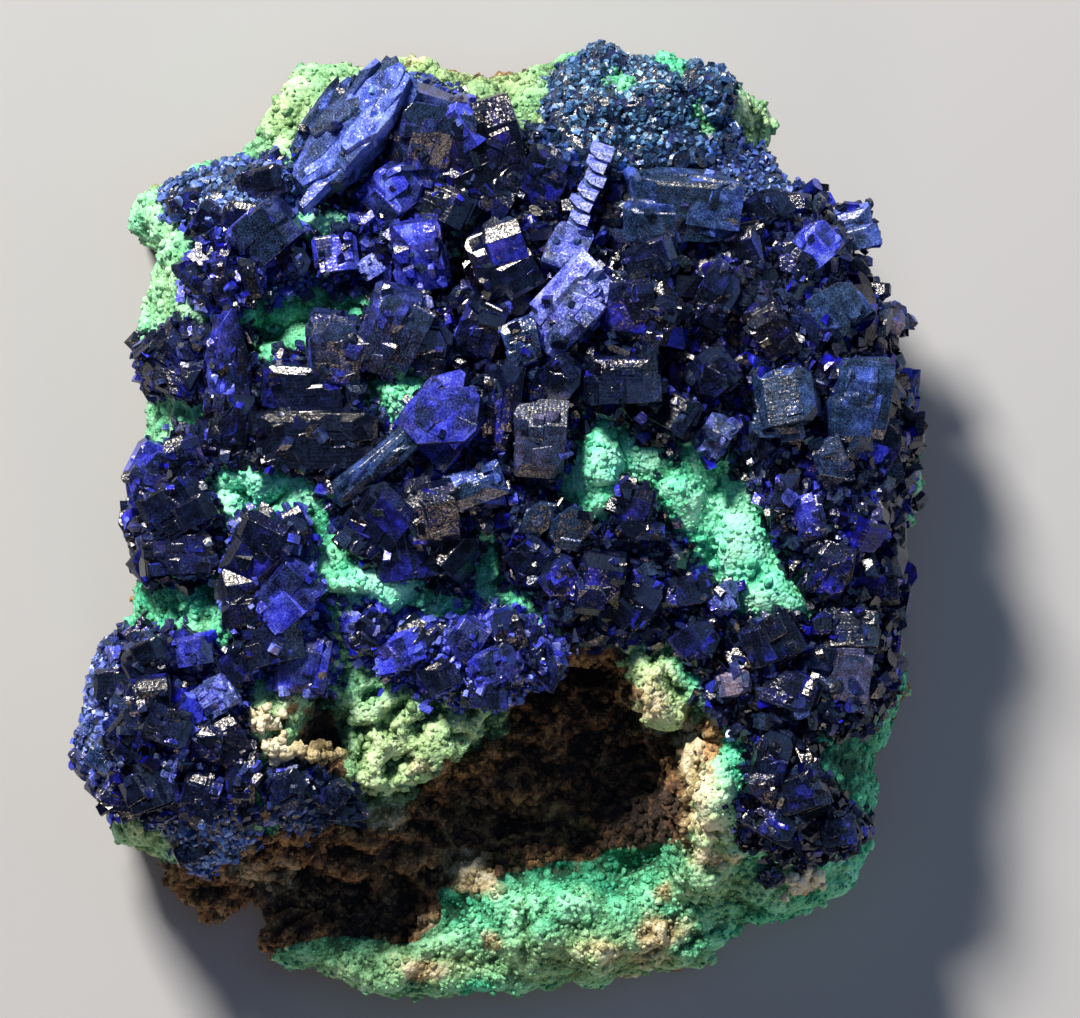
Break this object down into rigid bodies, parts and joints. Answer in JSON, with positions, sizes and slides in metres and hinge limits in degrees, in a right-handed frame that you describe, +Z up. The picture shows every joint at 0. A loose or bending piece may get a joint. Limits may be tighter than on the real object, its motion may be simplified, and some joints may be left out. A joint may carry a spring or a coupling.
{
  "type": "azurite crystal specimen on malachite-coated matrix",
  "caption": "Palm-sized mineral specimen: deep blue blocky azurite crystals grown over a malachite-coated rock, with bare green windows, a brown hollow and a broken ledge along one end.",
  "frame": {"origin": "on the resting plane, under the centre of the specimen's box", "axes": "+Z up, away from the flat back it lies on and towards the crystals; +Y along its length, from the broken ledge and hollow to the malachite crest; +X to the right with +Y ahead"},
  "size_m": [0.0764, 0.0844, 0.0303],
  "materials": {
    "gossan": "earthy brown limonite rock under a granular, mostly bright green malachite coat",
    "azurite": "glassy to frosted deep blue crystal faces"
  },
  "bodies": {
    "root": {"matrix": "gossan", "azurite_crust": "azurite", "azurite_blades": "azurite", "azurite_shoulder": "azurite", "azurite_knot": "azurite", "azurite_rosette": "azurite", "azurite_column": "azurite", "azurite_brow": "azurite", "azurite_lobe": "azurite", "azurite_shelf": "azurite"}
  },
  "joints": []
}
